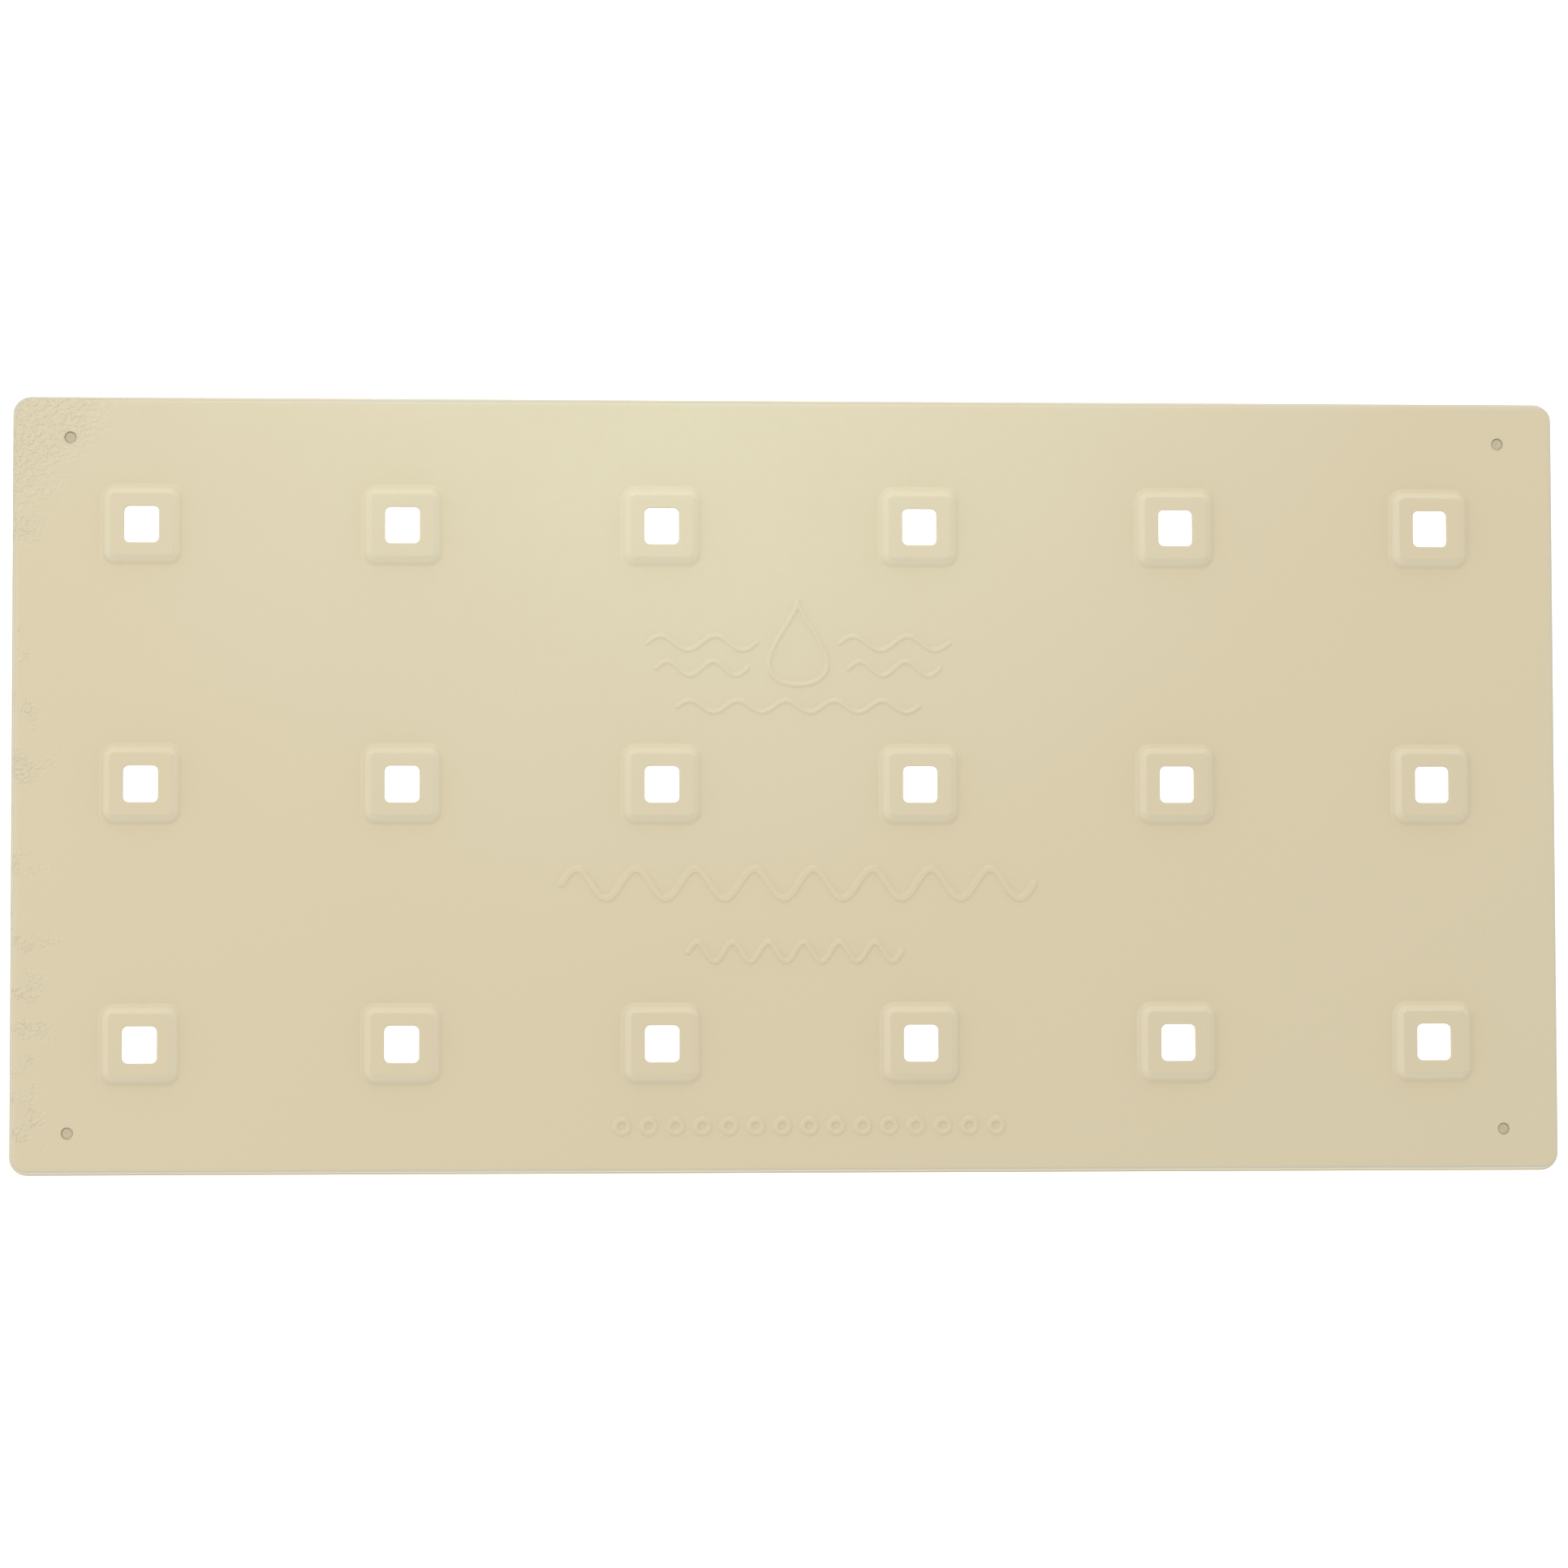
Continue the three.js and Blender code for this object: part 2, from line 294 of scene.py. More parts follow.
def flat_plate(bm, height, inset, corner_radius):
    """A flat plate with the outline of the board, taken in by the inset."""
    plate = bmesh.ops.create_grid(bm, x_segments=1, y_segments=1, size=0.5)["verts"]
    bmesh.ops.scale(bm, verts=plate, vec=(LENGTH - 2 * inset, WIDTH - 2 * inset, 1))
    bmesh.ops.translate(bm, verts=plate, vec=(0, 0, height))
    bmesh.ops.bevel(
        bm, geom=plate, offset=corner_radius - inset, offset_type="OFFSET", segments=OUTLINE_STEPS,
        profile=0.5, affect="VERTICES", material=-1,
    )


def cut_strips(bm, heights):
    """Cuts the plate along X at each of the given places on Y."""
    for y in heights:
        everything = bm.verts[:] + bm.edges[:] + bm.faces[:]
        bmesh.ops.bisect_plane(bm, geom=everything, plane_co=(0, y, 0), plane_no=(0, 1, 0), dist=WELD)


def cut_cell(bm, low, high, first_axis):
    """Cuts the face that holds the middle of a rectangle down to that rectangle, and returns it."""
    middle = (low + high) / 2
    face = face_holding(bm.faces, middle)
    for axis in (first_axis, 1 - first_axis):
        for bound in (low, high):
            normal = Vector((0, 0, 0))
            normal[axis] = 1
            cut = bmesh.ops.bisect_plane(
                bm, geom=[face, *face.edges, *face.verts], plane_co=normal * bound[axis],
                plane_no=normal, dist=WELD,
            )
            faces = [part for part in cut["geom"] if isinstance(part, bmesh.types.BMFace)]
            face = face_holding(faces, middle)
    return face


def square_cell(bm, centre, side, first_axis):
    reach = Vector((side, side)) / 2
    return cut_cell(bm, centre - reach, centre + reach, first_axis)


def middle_and_halves(face):
    """Middle of a rectangular face, and half its length and width."""
    middle = face.calc_center_bounds()
    half_x = max(abs(vert.co.x - middle.x) for vert in face.verts)
    half_y = max(abs(vert.co.y - middle.y) for vert in face.verts)
    return middle, half_x, half_y


def corner_spacing(half_x, half_y):
    """Distance between the points on a cell's sides, counted from its corners."""
    return 2 * min(half_x, half_y) / (2 * ARC_STEPS + 1)


def divide_cell(bm, face):
    """Gives the sides of a rectangular cell the points that its rounded corners need, near its corners."""
    bmesh.ops.bisect_edges(bm, edges=list(face.edges), cuts=2 * ARC_STEPS)
    middle, half_x, half_y = middle_and_halves(face)
    spacing = corner_spacing(half_x, half_y)
    for vert in face.verts:
        for axis, half in ((0, half_x), (1, half_y)):
            away = vert.co[axis] - middle[axis]
            steps_from_corner = (half - abs(away)) * (2 * ARC_STEPS + 1) / (2 * half)
            vert.co[axis] = middle[axis] + math.copysign(half - steps_from_corner * spacing, away)


def corner_marks(face):
    """For each point of a divided cell, the signs of the rounded corner it becomes part of,
    and its outward direction there."""
    middle, half_x, half_y = middle_and_halves(face)
    marks = []
    for vert in face.verts:
        x = vert.co.x - middle.x
        y = vert.co.y - middle.y
        turn = (half_x - abs(x) + half_y - abs(y)) / corner_spacing(half_x, half_y) / ARC_STEPS
        angle = math.radians(45) * (1 - turn if half_x - abs(x) <= half_y - abs(y) else 1 + turn)
        sign_x = math.copysign(1, x)
        sign_y = math.copysign(1, y)
        marks.append((sign_x, sign_y, sign_x * math.cos(angle), sign_y * math.sin(angle)))
    return marks


def press(bm, face, centre, levels):
    """Presses a cell through levels of (half length, half width, corner radius, height)."""
    marks = corner_marks(face)
    for half_x, half_y, radius, height in levels:
        bmesh.ops.inset_individual(bm, faces=[face], thickness=WELD, depth=0)
        for vert, (sign_x, sign_y, out_x, out_y) in zip(face.verts, marks):
            x = centre.x + sign_x * (half_x - radius) + out_x * radius
            y = centre.y + sign_y * (half_y - radius) + out_y * radius
            vert.co = (x, y, height)


def draw_rim(bm, edges, corner_radius, path):
    """Draws the outline of a plate through a path of (inset, height) points."""
    core = Vector((LENGTH / 2 - corner_radius, WIDTH / 2 - corner_radius))
    for inset, height in path:
        drawn = bmesh.ops.extrude_edge_only(bm, edges=edges)["geom"]
        edges = [part for part in drawn if isinstance(part, bmesh.types.BMEdge) and part.is_boundary]
        for vert in {vert for edge in edges for vert in edge.verts}:
            root = Vector((max(-core.x, min(core.x, vert.co.x)), max(-core.y, min(core.y, vert.co.y))))
            outward = (vert.co.xy - root).normalized()
            place = root + outward * (corner_radius - inset)
            vert.co = (place.x, place.y, height)


def outline_edges(faces):
    """The edges of some faces that no other face shares."""
    return [edge for edge in {edge for face in faces for edge in face.edges} if edge.is_boundary]


def second_surface(bm, height):
    """Copies a cut plate to the sheet's other side, turned over, and returns each face's copy."""
    faces = bm.faces[:]
    copied = bmesh.ops.duplicate(bm, geom=bm.verts[:] + bm.edges[:] + faces)
    copies = {face: copied["face_map"][face] for face in faces}
    verts = {vert for face in copies.values() for vert in face.verts}
    bmesh.ops.reverse_faces(bm, faces=list(copies.values()))
    for vert in verts:
        vert.co.z = height
    return copies


def close_skin(bm, cut_faces):
    """Opens the cut holes, and welds the two surfaces where they meet."""
    bmesh.ops.delete(bm, geom=cut_faces, context="FACES_ONLY")
    bmesh.ops.remove_doubles(bm, verts=bm.verts[:], dist=WELD)
    bmesh.ops.dissolve_degenerate(bm, dist=WELD / 10, edges=bm.edges[:])
    bmesh.ops.recalc_face_normals(bm, faces=bm.faces[:])
    if any(not edge.is_manifold for edge in bm.edges):
        raise RuntimeError("a skin isn't closed")


def finished_piece(bm, name, node, material, smooth_angle):
    """Makes the finished mesh an object that stands for its CAD node."""
    mesh = bpy.data.meshes.new(name)
    bm.to_mesh(mesh)
    bm.free()
    mesh.polygons.foreach_set("use_smooth", [True] * len(mesh.polygons))
    mesh.set_sharp_from_angle(angle=smooth_angle)
    mesh.materials.append(material)
    piece = bpy.data.objects.new(name, mesh)
    bpy.context.scene.collection.objects.link(piece)
    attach(piece, BODY)
    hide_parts(node)
    return piece


# Relief: a drop over ripples, two plain waves and a row of rings


def line_points(length, curve, step=0.0004):
    """Points of a curve, close enough together to measure distances from."""
    count = math.ceil(length / step)
    return [curve(index / count) for index in range(count + 1)]


def drop_outline(centre, width, height):
    def curve(share):
        turn = share * 2 * math.pi
        x = math.sin(turn) * math.sin(turn / 2) ** 2
        return centre.x + x * width / 2 / 0.65, centre.y + math.cos(turn) * height / 2

    return line_points(3 * height, curve)


def wave(centre, length, swing, waves):
    def curve(share):
        x = (share - 0.5) * length
        return centre.x + x, centre.y + swing * math.sin(share * waves * 2 * math.pi)

    return line_points(length + 4 * swing * waves, curve)


def ring_row(centre, length, count, radius):
    points = []
    for index in range(count):
        middle = centre.x + (index / (count - 1) - 0.5) * length

        def curve(share, middle=middle):
            turn = share * 2 * math.pi
            return middle + radius * math.cos(turn), centre.y + radius * math.sin(turn)

        points += line_points(2 * math.pi * radius, curve)
    return points


def drop_and_ripples(centre):
    points = drop_outline(centre + Vector((0, 0.010)), 0.046, 0.066)
    for rank, (length, drop) in enumerate(((0.086, 0.012), (0.086, 0.032))):
        for side in (-1, 1):
            middle = centre + Vector((side * 0.076, 0.022 - drop))
            points += wave(middle, length - 0.014 * rank, 0.0055, 2)
    points += wave(centre + Vector((0, -0.040)), 0.190, 0.0045, 5)
    return points


def relief_motifs(sizes):
    """Each motif as its rectangle's middle and size, the points of its ridges and their half width on top."""
    emblem = Vector((0.006, PITCH / 2))
    band = Vector((0.006, -0.078))
    short_band = Vector((0.003, -0.1315))
    edge_band = Vector((0.014, -0.268))
    return [
        (emblem, Vector((0.250, 0.110)), drop_and_ripples(emblem), sizes.drawn),
        (band, Vector((0.388, 0.040)), wave(band, 0.372, 0.0115, 8), sizes.broad),
        (short_band, Vector((0.180, 0.030)), wave(short_band, 0.168, 0.0075, 6), sizes.narrow),
        (edge_band, Vector((0.320, 0.028)), ring_row(edge_band, 0.294, 15, 0.0052), sizes.narrow),
    ]


def patch_faces(bm, low, high):
    return [face for face in bm.faces if lies_within(face, low, high) and face.normal.z > 0.5]


def raise_relief(bm, low, high, points, crown, sizes):
    """Divides a flat cell, finely near the points, and raises a ridge along them."""
    tree = kdtree.KDTree(len(points))
    for index, (x, y) in enumerate(points):
        tree.insert((x, y, DECK), index)
    tree.balance()
    coarse = 3 * sizes.spacing
    for axis in (0, 1):
        edges = {edge for face in patch_faces(bm, low, high) for edge in face.edges}
        across = [edge for edge in edges if abs((edge.verts[1].co - edge.verts[0].co)[axis]) > WELD]
        cuts = round((high[axis] - low[axis]) / coarse) - 1
        bmesh.ops.subdivide_edges(bm, edges=across, cuts=cuts, use_grid_fill=True)
    reach = crown + sizes.slope + coarse
    near = [face for face in patch_faces(bm, low, high) if tree.find(face.calc_center_median())[2] < reach]
    edges = {edge for face in near for edge in face.edges}
    bmesh.ops.subdivide_edges(bm, edges=list(edges), cuts=2, use_grid_fill=True)
    for vert in {vert for face in patch_faces(bm, low, high) for vert in face.verts}:
        distance = tree.find(vert.co)[2]
        rise = min(1, max(0, (crown + sizes.slope - distance) / sizes.slope))
        vert.co.z = DECK + sizes.height * rise * rise * (3 - 2 * rise)


# Pieces


def hole_levels(site, trim):
    return offset_levels(site.hole_length / 2, site.hole_width / 2, site.hole_corner, trim)


def collar_levels(sheet, site, inside):
    """Levels from the deck up the collar to the edge of the hole, on the outer or the inner surface."""
    half = site.base / 2
    lean = (site.base - site.ledge) / 2
    flat_deck = -0.003
    flat_ledge = lean + 0.004
    if inside:
        deck = DECK - sheet.sheet
        ledge = LEDGE - sheet.sheet
        thick = 0.0011  # inset that gives the sloping wall the thickness of the sheet
        corners = [(flat_deck, deck), (thick, deck), (lean + thick, ledge), (flat_ledge, ledge)]
        wall = rounded_path(corners, (site.foot + 0.001, 0.0008))
        trim = [(-0.0015, ledge), (0, ledge)]
    else:
        corners = [(flat_deck, DECK), (0, DECK), (lean, LEDGE), (flat_ledge, LEDGE)]
        wall = rounded_path(corners, (site.foot, site.shoulder))
        trim = rounded_path([(-0.0015, LEDGE), (0, LEDGE), (0, LEDGE - sheet.sheet)], (site.trim,))
    return offset_levels(half, half, site.corner, wall) + hole_levels(site, trim)


def well_levels(sheet, site, inside):
    """Levels from the underside up the well to the edge of the hole, on the outer or the inner surface."""
    half = site.mouth / 2
    lean = (site.mouth - site.land) / 2
    if inside:
        corners = [(-0.002, sheet.sheet), (0, sheet.sheet), (lean, LAND), (lean + 0.002, LAND)]
        wall = rounded_path(corners, (0.001, 0.0015))
        trim = [(-0.0015, LAND), (0, LAND)]
    else:
        floor = LAND - sheet.sheet
        thick = 0.0024  # outset that gives the wall the thickness of the sheet
        corners = [(-0.001, 0), (thick, 0), (lean + 0.0015, floor), (lean + 0.0035, floor)]
        wall = rounded_path(corners, (site.mouth_rounding, 0.001))
        trim = rounded_path([(-0.0015, floor), (0, floor), (0, LAND)], (site.trim,))
    return offset_levels(half, half, site.well_corner, wall) + hole_levels(site, trim)


def cup_levels(sheet, port, inside):
    """Levels from the deck down the cup to the needle hole, on the outer or the inner surface."""
    floor = DECK - port.depth
    if inside:
        down = sheet.sheet
        path = [
            (port.radius + down + 0.001, DECK - down), (port.radius + down, DECK - down),
            (port.radius + down, floor - down), (port.needle, floor - down),
        ]
    else:
        crest = port.radius + 0.0007
        burr = rounded_path(
            [
                (-crest - 0.0011, DECK), (-crest - 0.0004, DECK), (-crest, DECK + port.burr),
                (-port.radius, DECK - 0.0005), (-port.radius, floor), (-port.needle, floor),
                (-port.needle, floor - sheet.sheet),
            ],
            (0.0004, 0.0003, 0.0004, 0.0004, 0.0002),
        )
        path = [(-inset, height) for inset, height in burr]
    return [(radius, radius, radius, height) for radius, height in path]


class RAFT_OT_upper_skin(bpy.types.Operator):
    """Forms the upper skin: the deck, its collars, port cups and low relief, and the upper wall"""

    bl_idname = "raft.upper_skin"
    bl_label = "Upper skin"

    def execute(self, context):
        sheet = context.scene.raft_sheet
        site = context.scene.raft_site
        port = context.scene.raft_port
        relief = context.scene.raft_relief
        sites = site_centres()
        rows = sorted({round(centre.y, 4) for centre in sites})
        bm = bmesh.new()
        flat_plate(bm, DECK, sheet.plate_inset, sheet.corner)
        cut_strips(bm, [row + side * site.cell / 2 for row in rows for side in (-1, 1)])
        cells = [(centre, square_cell(bm, centre, site.cell, 1)) for centre in sites]
        cups = []
        for name in PORTS:
            centre = port_centre(name)
            inwards = Vector((0, -math.copysign(port.cell_shift, centre.y)))
            cups.append((centre, square_cell(bm, centre + inwards, port.cell, 1)))
        motifs = relief_motifs(relief)
        for middle, size, _, _ in motifs:
            cut_cell(bm, middle - size / 2, middle + size / 2, 1)
        for _, cell in cells + cups:
            divide_cell(bm, cell)
        copies = second_surface(bm, DECK - sheet.sheet)
        rims = [outline_edges(copies.keys()), outline_edges(copies.values())]
        cut_faces = []
        for shapes, levels in ((cells, collar_levels), (cups, cup_levels)):
            size = site if levels is collar_levels else port
            for centre, cell in shapes:
                press(bm, cell, centre, levels(sheet, size, inside=False))
                press(bm, copies[cell], centre, levels(sheet, size, inside=True))
                cut_faces += [cell, copies[cell]]
        wall = sheet.lip + sheet.upper_draft
        flange = SEAM + sheet.sheet
        outer = rounded_path(
            [(sheet.plate_inset, DECK), (wall, DECK), (sheet.lip, flange), (0, flange), (0, SEAM)],
            (sheet.deck_rounding, 0.0008, 0.0004),
        )
        inner = rounded_path(
            [
                (sheet.plate_inset, DECK - sheet.sheet), (wall + sheet.sheet, DECK - sheet.sheet),
                (sheet.lip + sheet.sheet, SEAM), (0, SEAM),
            ],
            (0.001, 0.0004),
        )
        draw_rim(bm, rims[0], sheet.corner, outer[1:])
        draw_rim(bm, rims[1], sheet.corner, inner[1:])
        close_skin(bm, cut_faces)
        for middle, size, points, crown in motifs:
            raise_relief(bm, middle - size / 2, middle + size / 2, points, crown, relief)
        material = deck_plastic(context.scene.raft_finish)
        finished_piece(bm, "formed_deck", "upper_skin", material, SKIN_SMOOTH)
        return {"FINISHED"}


class RAFT_OT_lower_skin(bpy.types.Operator):
    """Forms the lower skin: the underside, its wells and stiffening beads, and the lower wall"""

    bl_idname = "raft.lower_skin"
    bl_label = "Lower skin"

    def execute(self, context):
        sheet = context.scene.raft_sheet
        site = context.scene.raft_site
        bead = context.scene.raft_bead
        sites = site_centres()
        columns = sorted({round(centre.x, 4) for centre in sites})
        rows = sorted({round(centre.y, 4) for centre in sites})
        row_gaps = [(low + high) / 2 for low, high in zip(rows, rows[1:])]
        column_gaps = [(low + high) / 2 for low, high in zip(columns, columns[1:])]
        seam = SEAM - sheet.gap
        bm = bmesh.new()
        flat_plate(bm, 0, sheet.plate_inset, sheet.corner)
        strip = bead.width / 2 + 1.5 * bead.cell_margin
        cut_strips(bm, [gap + side * strip for gap in row_gaps for side in (-1, 1)])
        wells = [(centre, square_cell(bm, centre, site.cell, 0)) for centre in sites]
        margin = Vector((bead.cell_margin, bead.cell_margin))
        beads = []
        for gap in row_gaps:
            centre = Vector((0, gap))
            half = Vector((LENGTH / 2 - bead.margin, bead.width / 2))
            beads.append((centre, half, cut_cell(bm, centre - half - margin, centre + half + margin, 1)))
        ends = [bead.margin - WIDTH / 2]
        for gap in row_gaps:
            ends += [gap - bead.space, gap + bead.space]
        ends.append(WIDTH / 2 - bead.margin)
        for gap in column_gaps:
            for low, high in zip(ends[::2], ends[1::2]):
                centre = Vector((gap, (low + high) / 2))
                half = Vector((bead.width / 2, (high - low) / 2))
                beads.append((centre, half, cut_cell(bm, centre - half - margin, centre + half + margin, 0)))
        for cell in [cell for _, cell in wells] + [cell for _, _, cell in beads]:
            divide_cell(bm, cell)
        copies = second_surface(bm, sheet.sheet)
        rims = [outline_edges(copies.keys()), outline_edges(copies.values())]
        cut_faces = []
        for centre, cell in wells:
            press(bm, cell, centre, well_levels(sheet, site, inside=False))
            press(bm, copies[cell], centre, well_levels(sheet, site, inside=True))
            cut_faces += [cell, copies[cell]]
        groove = rounded_path(
            [(-0.001, 0), (0, 0), (bead.slope, bead.depth), (bead.slope + 0.002, bead.depth)],
            (bead.rounding, bead.rounding),
        )
        ridge = [(inset - 0.0016, height + sheet.sheet) for inset, height in groove]
        for centre, half, cell in beads:
            press(bm, cell, centre, offset_levels(half.x, half.y, bead.width / 2, groove))
            press(bm, copies[cell], centre, offset_levels(half.x, half.y, bead.width / 2, ridge))
        wall = sheet.lip + sheet.lower_draft
        flange = seam - sheet.sheet
        outer = rounded_path(
            [(sheet.plate_inset, 0), (wall, 0), (sheet.lip, flange), (0, flange), (0, seam)],
            (sheet.keel_rounding, 0.0008, 0.0004),
        )
        inner = rounded_path(
            [
                (sheet.plate_inset, sheet.sheet), (wall + sheet.sheet, sheet.sheet),
                (sheet.lip + sheet.sheet, seam), (0, seam),
            ],
            (0.0018, 0.0004),
        )
        draw_rim(bm, rims[0], sheet.corner, outer[1:])
        draw_rim(bm, rims[1], sheet.corner, inner[1:])
        close_skin(bm, cut_faces)
        material = keel_plastic(context.scene.raft_finish)
        finished_piece(bm, "formed_keel", "lower_skin", material, SKIN_SMOOTH)
        return {"FINISHED"}


class RAFT_OT_port_plugs(bpy.types.Operator):
    """Turns the four push-in plugs that seal the blow ports"""

    bl_idname = "raft.port_plugs"
    bl_label = "Port plugs"

    def execute(self, context):
        sheet = context.scene.raft_sheet
        port = context.scene.raft_port
        material = plug_plastic(context.scene.raft_finish)
        clearance = sheet.gap
        for name in PORTS:
            centre = port_centre(name)
            low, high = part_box(f"port_plug_{name}")
            head = port.radius - clearance / 2
            shank = port.needle - clearance
            under_head = high.z - port.head
            barb_top = low.z + port.tail
            dimple = high.z - 0.0004
            profile = rounded_path(
                [
                    (0, low.z), (shank - port.barb, low.z), (shank + port.barb, barb_top), (shank, barb_top),
                    (shank, under_head), (head, under_head), (head, high.z), (0.0012, high.z),
                    (0.0006, dimple), (0, dimple),
                ],
                (0.0003, 0.0002, 0.0002, 0.0002, 0.0002, 0.0003, 0.0003, 0.0003),
            )
            bm = bmesh.new()
            verts = [bm.verts.new((centre.x + radius, centre.y, height)) for radius, height in profile]
            edges = [bm.edges.new(pair) for pair in zip(verts, verts[1:])]
            bmesh.ops.spin(
                bm, geom=verts + edges, cent=(centre.x, centre.y, 0), axis=(0, 0, 1), angle=math.tau,
                steps=PLUG_STEPS, use_merge=True,
            )
            bmesh.ops.remove_doubles(bm, verts=bm.verts[:], dist=WELD)
            bmesh.ops.recalc_face_normals(bm, faces=bm.faces[:])
            finished_piece(bm, f"plug_{name}", f"port_plug_{name}", material, PLUG_SMOOTH)
        return {"FINISHED"}


# Materials


def new_group(name, inputs, outputs):
    """An empty shader node group with named sockets."""
    group = bpy.data.node_groups.new(name, "ShaderNodeTree")
    for label, kind, default in inputs:
        socket = group.interface.new_socket(label, in_out="INPUT", socket_type=kind)
        if default is not None:
            socket.default_value = default
    for label, kind in outputs:
        group.interface.new_socket(label, in_out="OUTPUT", socket_type=kind)
    return group, group.nodes.new("NodeGroupInput"), group.nodes.new("NodeGroupOutput")


def noise(tree, vector, scale, detail, roughness=0.5):
    """A noise texture on the given coordinates. A scale that is a socket is linked."""
    node = tree.nodes.new("ShaderNodeTexNoise")
    tree.links.new(vector, node.inputs["Vector"])
    set_or_link(tree, node.inputs["Scale"], scale)
    node.inputs["Detail"].default_value = detail
    node.inputs["Roughness"].default_value = roughness
    return node.outputs["Fac"]


def set_or_link(tree, socket, value):
    if isinstance(value, bpy.types.NodeSocket):
        tree.links.new(value, socket)
    else:
        socket.default_value = value


def maths(tree, operation, first, second=0.0, clamp=False):
    node = tree.nodes.new("ShaderNodeMath")
    node.operation = operation
    node.use_clamp = clamp
    set_or_link(tree, node.inputs[0], first)
    set_or_link(tree, node.inputs[1], second)
    return node.outputs[0]


def span(tree, value, from_low, from_high, to_low=0.0, to_high=1.0):
    """Maps a value smoothly from one range to another."""
    node = tree.nodes.new("ShaderNodeMapRange")
    node.interpolation_type = "SMOOTHSTEP"
    tree.links.new(value, node.inputs["Value"])
    node.inputs["From Min"].default_value = from_low
    node.inputs["From Max"].default_value = from_high
    node.inputs["To Min"].default_value = to_low
    node.inputs["To Max"].default_value = to_high
    return node.outputs["Result"]


def blend_colour(tree, share, first, second):
    node = tree.nodes.new("ShaderNodeMix")
    node.data_type = "RGBA"
    set_or_link(tree, node.inputs["Factor"], share)
    set_or_link(tree, node.inputs[6], first)
    set_or_link(tree, node.inputs[7], second)
    return node.outputs[2]


def pebbled_grain():
    """The hair-cell grain of formed sheet: rounded pebbles with fine noise over them."""
    name = "Pebbled grain"
    if name in bpy.data.node_groups:
        return bpy.data.node_groups[name]
    group, source, sink = new_group(
        name,
        [
            ("Vector", "NodeSocketVector", None), ("Scale", "NodeSocketFloat", 400.0),
            ("Fine", "NodeSocketFloat", 0.3),
        ],
        [("Height", "NodeSocketFloat")],
    )
    vector = source.outputs["Vector"]
    warp = group.nodes.new("ShaderNodeTexNoise")
    group.links.new(vector, warp.inputs["Vector"])
    warp.inputs["Scale"].default_value = 160
    bend = group.nodes.new("ShaderNodeVectorMath")
    bend.operation = "MULTIPLY_ADD"
    group.links.new(warp.outputs["Color"], bend.inputs[0])
    bend.inputs[1].default_value = (0.004, 0.004, 0.004)
    group.links.new(vector, bend.inputs[2])
    pebbles = group.nodes.new("ShaderNodeTexVoronoi")
    pebbles.feature = "SMOOTH_F1"
    pebbles.inputs["Smoothness"].default_value = 0.6
    group.links.new(bend.outputs[0], pebbles.inputs["Vector"])
    group.links.new(source.outputs["Scale"], pebbles.inputs["Scale"])
    dome = span(group, pebbles.outputs["Distance"], 0.05, 0.75, 1.0, 0.0)
    fine = maths(group, "MULTIPLY", noise(group, vector, 1400, 3), source.outputs["Fine"])
    group.links.new(maths(group, "ADD", dome, fine), sink.inputs["Height"])
    return group


def moulded_tone():
    """Broad drift and fine mottling in the colour of formed plastic, as a colour."""
    name = "Moulded tone"
    if name in bpy.data.node_groups:
        return bpy.data.node_groups[name]
    group, source, sink = new_group(
        name,
        [
            ("Vector", "NodeSocketVector", None), ("Colour", "NodeSocketColor", (0.7, 0.6, 0.4, 1)),
            ("Deep colour", "NodeSocketColor", (0.6, 0.5, 0.33, 1)), ("Drift", "NodeSocketFloat", 0.3),
            ("Mottle", "NodeSocketFloat", 0.15),
        ],
        [("Colour", "NodeSocketColor")],
    )
    vector = source.outputs["Vector"]
    broad = span(group, noise(group, vector, 3.2, 2), 0.3, 0.75)
    small = span(group, noise(group, vector, 70, 4), 0.35, 0.75)
    drift = maths(group, "MULTIPLY", broad, source.outputs["Drift"])
    mottle = maths(group, "MULTIPLY", small, source.outputs["Mottle"])
    share = maths(group, "ADD", drift, mottle, clamp=True)
    toned = blend_colour(group, share, source.outputs["Colour"], source.outputs["Deep colour"])
    group.links.new(toned, sink.inputs["Colour"])
    return group


def rub_marks():
    """Faint long scuffs from stacking and handling, as a mask."""
    name = "Rub marks"
    if name in bpy.data.node_groups:
        return bpy.data.node_groups[name]
    group, source, sink = new_group(
        name,
        [("Vector", "NodeSocketVector", None), ("Amount", "NodeSocketFloat", 0.5)],
        [("Mask", "NodeSocketFloat")],
    )
    stretch = group.nodes.new("ShaderNodeMapping")
    stretch.inputs["Rotation"].default_value = (0, 0, math.radians(24))
    stretch.inputs["Scale"].default_value = (9, 420, 60)
    group.links.new(source.outputs["Vector"], stretch.inputs["Vector"])
    lines = span(group, noise(group, stretch.outputs["Vector"], 1.0, 3), 0.62, 0.74)
    patches = span(group, noise(group, source.outputs["Vector"], 9, 2), 0.52, 0.7)
    mask = maths(group, "MULTIPLY", maths(group, "MULTIPLY", lines, patches), source.outputs["Amount"])
    group.links.new(mask, sink.inputs["Mask"])
    return group


def placed(tree, group, vector, **values):
    """Places a node group in a material, with its own values."""
    node = tree.nodes.new("ShaderNodeGroup")
    node.node_tree = group
    tree.links.new(vector, node.inputs["Vector"])
    for label, value in values.items():
        node.inputs[label.replace("_", " ")].default_value = value
    return node


def plastic(name, colour, roughness):
    """An opaque plastic with object coordinates ready to use."""
    material = bpy.data.materials.new(name)
    material.use_nodes = True
    material.diffuse_color = colour
    tree = material.node_tree
    shader = tree.nodes["Principled BSDF"]
    shader.inputs["Roughness"].default_value = roughness
    shader.inputs["IOR"].default_value = 1.5
    coordinates = tree.nodes.new("ShaderNodeTexCoord").outputs["Object"]
    return material, tree, shader, coordinates


